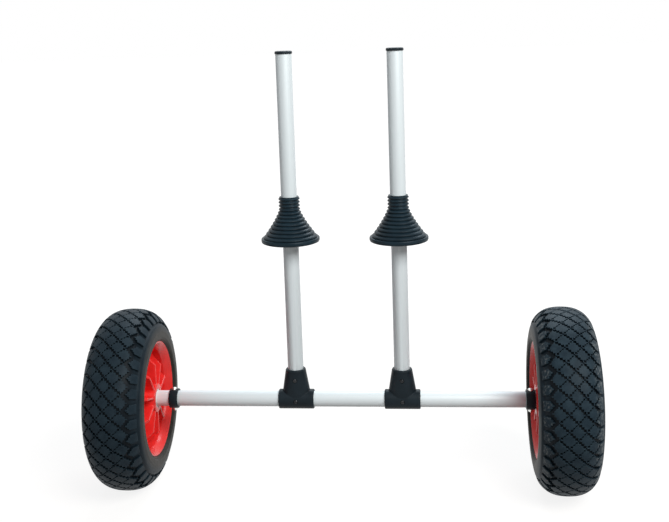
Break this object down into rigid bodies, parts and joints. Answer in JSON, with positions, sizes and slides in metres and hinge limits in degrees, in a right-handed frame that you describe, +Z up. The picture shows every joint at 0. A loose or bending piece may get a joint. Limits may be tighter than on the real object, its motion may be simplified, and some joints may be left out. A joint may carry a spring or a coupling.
{
  "type": "kayak cart",
  "caption": "Scupper-type kayak cart: uprights with ribbed rubber cones rise from a cross axle that carries pneumatic wheels on glossy rims.",
  "frame": {"origin": "on the ground, at the middle of the overall width and under the axle's centre line", "axes": "+X along the axle to the cart's right, +Y away from the side that the picture shows, +Z up along the uprights"},
  "size_m": [0.7118, 0.258, 0.623],
  "materials": {
    "tube": "satin anodised",
    "black_plastic": "semi-matt moulded",
    "cone_rubber": "satin",
    "inner_tube_rubber": "matt",
    "tyre": "matt",
    "rim": "glossy moulded",
    "bush": "matt",
    "hardware": "bright zinc-plated",
    "valve_brass": "dull"
  },
  "bodies": {
    "frame": {"axle_tube": "tube", "left_tee": "black_plastic", "left_upright_tube": "tube", "left_upright_cap": "black_plastic", "left_axle_screw": "hardware", "left_upright_screw": "hardware", "left_cone_pin": "hardware", "left_inner_collar": "black_plastic", "left_inner_collar_bolt": "hardware", "left_inner_collar_nut": "hardware", "left_outer_collar": "black_plastic", "left_outer_collar_bolt": "hardware", "left_outer_collar_nut": "hardware", "left_axle_plug": "black_plastic", "right_tee": "black_plastic", "right_upright_tube": "tube", "right_upright_cap": "black_plastic", "right_axle_screw": "hardware", "right_upright_screw": "hardware", "right_cone_pin": "hardware", "right_inner_collar": "black_plastic", "right_inner_collar_bolt": "hardware", "right_inner_collar_nut": "hardware", "right_outer_collar": "black_plastic", "right_outer_collar_bolt": "hardware", "right_outer_collar_nut": "hardware", "right_axle_plug": "black_plastic"},
    "left_bushes": {"left_inner_bush": "bush", "left_outer_bush": "bush"},
    "left_wheel": {"left_rim": "rim", "left_tyre": "tyre", "left_inner_tube": "inner_tube_rubber", "left_valve_stem": "valve_brass", "left_valve_cap": "black_plastic"},
    "left_cone": {"left_scupper_cone": "cone_rubber"},
    "right_bushes": {"right_inner_bush": "bush", "right_outer_bush": "bush"},
    "right_wheel": {"right_rim": "rim", "right_tyre": "tyre", "right_inner_tube": "inner_tube_rubber", "right_valve_stem": "valve_brass", "right_valve_cap": "black_plastic"},
    "right_cone": {"right_scupper_cone": "cone_rubber"}
  },
  "joints": [
    {"name": "left_wheel_float", "type": "slide", "parent": "frame", "child": "left_bushes", "axis": [1, 0, 0], "range_m": [0, 0.018]},
    {"name": "left_wheel_spin", "type": "hinge", "parent": "left_bushes", "child": "left_wheel", "pos_m": [-0.31335, 0, 0.129], "axis": [1, 0, 0], "continuous": true},
    {"name": "left_cone_slide", "type": "slide", "parent": "frame", "child": "left_cone", "axis": [0, 0, 1], "range_m": [0, 0.194]},
    {"name": "right_wheel_float", "type": "slide", "parent": "frame", "child": "right_bushes", "axis": [1, 0, 0], "range_m": [0, 0.018]},
    {"name": "right_wheel_spin", "type": "hinge", "parent": "right_bushes", "child": "right_wheel", "pos_m": [0.30165, 0, 0.129], "axis": [1, 0, 0], "continuous": true},
    {"name": "right_cone_slide", "type": "slide", "parent": "frame", "child": "right_cone", "axis": [0, 0, 1], "range_m": [0, 0.194]}
  ]
}
